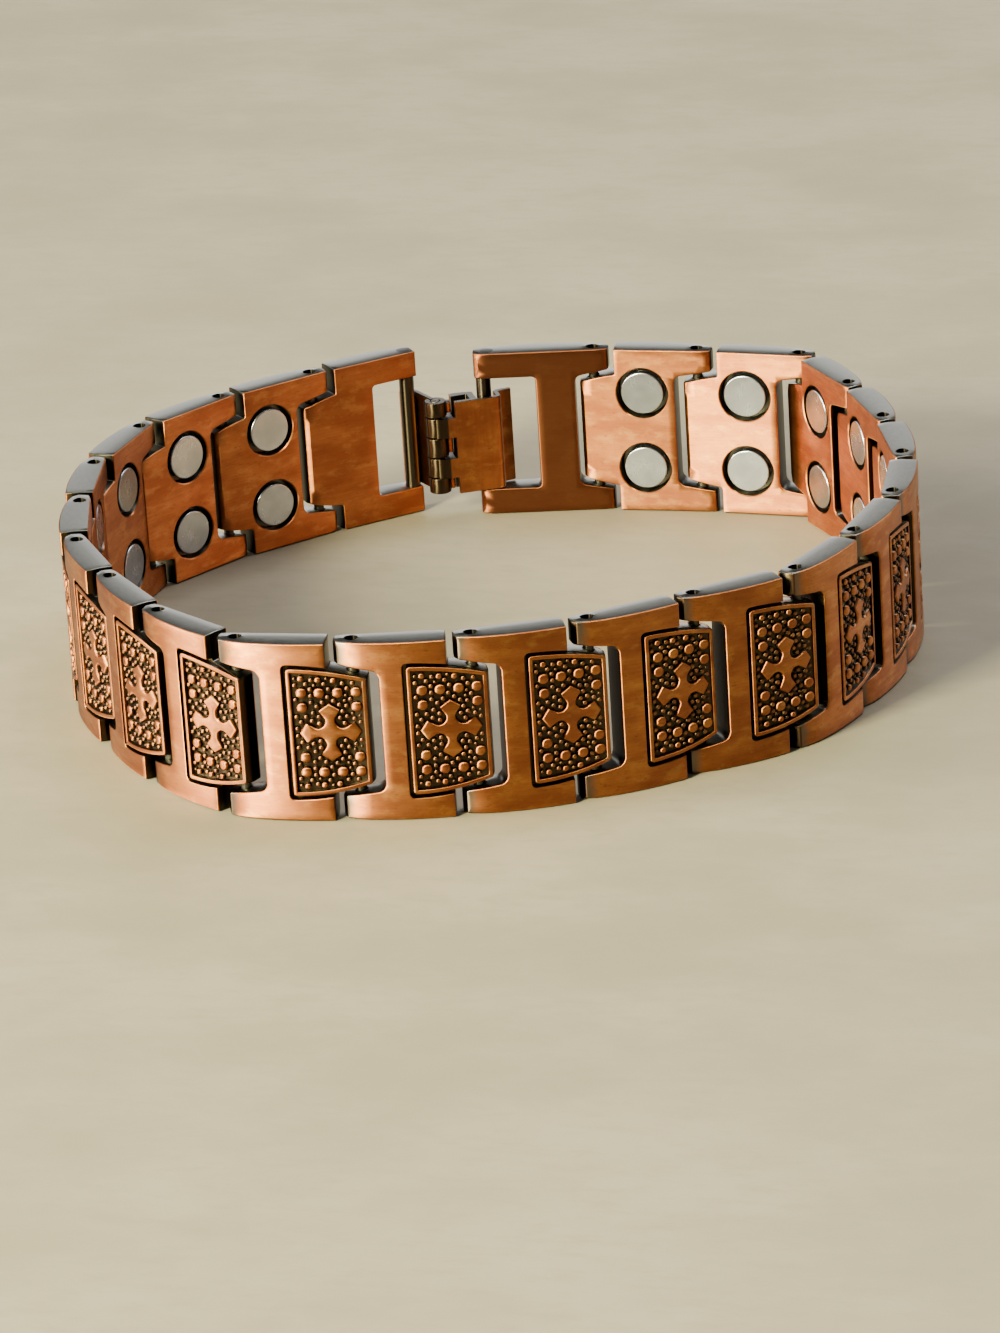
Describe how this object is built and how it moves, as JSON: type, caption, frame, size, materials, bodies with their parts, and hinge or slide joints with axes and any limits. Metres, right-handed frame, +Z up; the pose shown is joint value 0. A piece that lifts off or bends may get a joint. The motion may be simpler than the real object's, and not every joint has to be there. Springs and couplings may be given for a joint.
{
  "type": "magnetic bracelet",
  "caption": "Hinged link bracelet with cross and pebble ornament, disc magnets inside the links and a folding clasp, standing on its edge as a closed loop.",
  "frame": {"origin": "middle of the loop's box, on the surface that the band's edge rests on", "axes": "+Z up, across the band's width and along the hinge pins; +Y towards the clasp's side of the loop and +X to the right of it as seen from inside the loop"},
  "size_m": [0.0712, 0.0728, 0.015],
  "materials": {
    "band_copper": "satin",
    "magnet_steel": "satin",
    "pin_steel": "satin",
    "clasp_copper": "satin"
  },
  "bodies": {
    "band": {"link_01": "band_copper", "link_02": "band_copper", "link_03": "band_copper", "link_04": "band_copper", "link_05": "band_copper", "link_06": "band_copper", "link_07": "band_copper", "link_08": "band_copper", "link_09": "band_copper", "link_10": "band_copper", "link_11": "band_copper", "link_12": "band_copper", "link_13": "band_copper", "link_14": "band_copper", "link_15": "band_copper", "link_16": "band_copper", "link_17": "band_copper", "link_18": "band_copper", "link_19": "band_copper", "link_20": "band_copper", "link_21": "band_copper", "magnets_01": "magnet_steel", "magnets_02": "magnet_steel", "magnets_03": "magnet_steel", "magnets_04": "magnet_steel", "magnets_05": "magnet_steel", "magnets_06": "magnet_steel", "magnets_07": "magnet_steel", "magnets_08": "magnet_steel", "magnets_09": "magnet_steel", "magnets_10": "magnet_steel", "magnets_11": "magnet_steel", "magnets_12": "magnet_steel", "magnets_13": "magnet_steel", "magnets_14": "magnet_steel", "magnets_15": "magnet_steel", "magnets_16": "magnet_steel", "magnets_17": "magnet_steel", "magnets_18": "magnet_steel", "magnets_19": "magnet_steel", "magnets_20": "magnet_steel", "magnets_21": "magnet_steel", "bar_end_link": "band_copper", "window_end_link": "band_copper", "link_pins": "pin_steel"},
    "leaf": {"clasp_leaf": "clasp_copper", "clasp_pin": "pin_steel"},
    "hook": {"clasp_hook": "clasp_copper"}
  },
  "joints": [
    {"name": "leaf_swing", "type": "hinge", "parent": "band", "child": "leaf", "pos_m": [-0.01425, 0.03295, 0.0067], "axis": [0, 0, 1], "range_deg": [-60, 0]},
    {"name": "hook_swing", "type": "hinge", "parent": "leaf", "child": "hook", "pos_m": [-0.01136, 0.0313, 0.0067], "axis": [0, 0, 1], "range_deg": [-90, 0]}
  ]
}
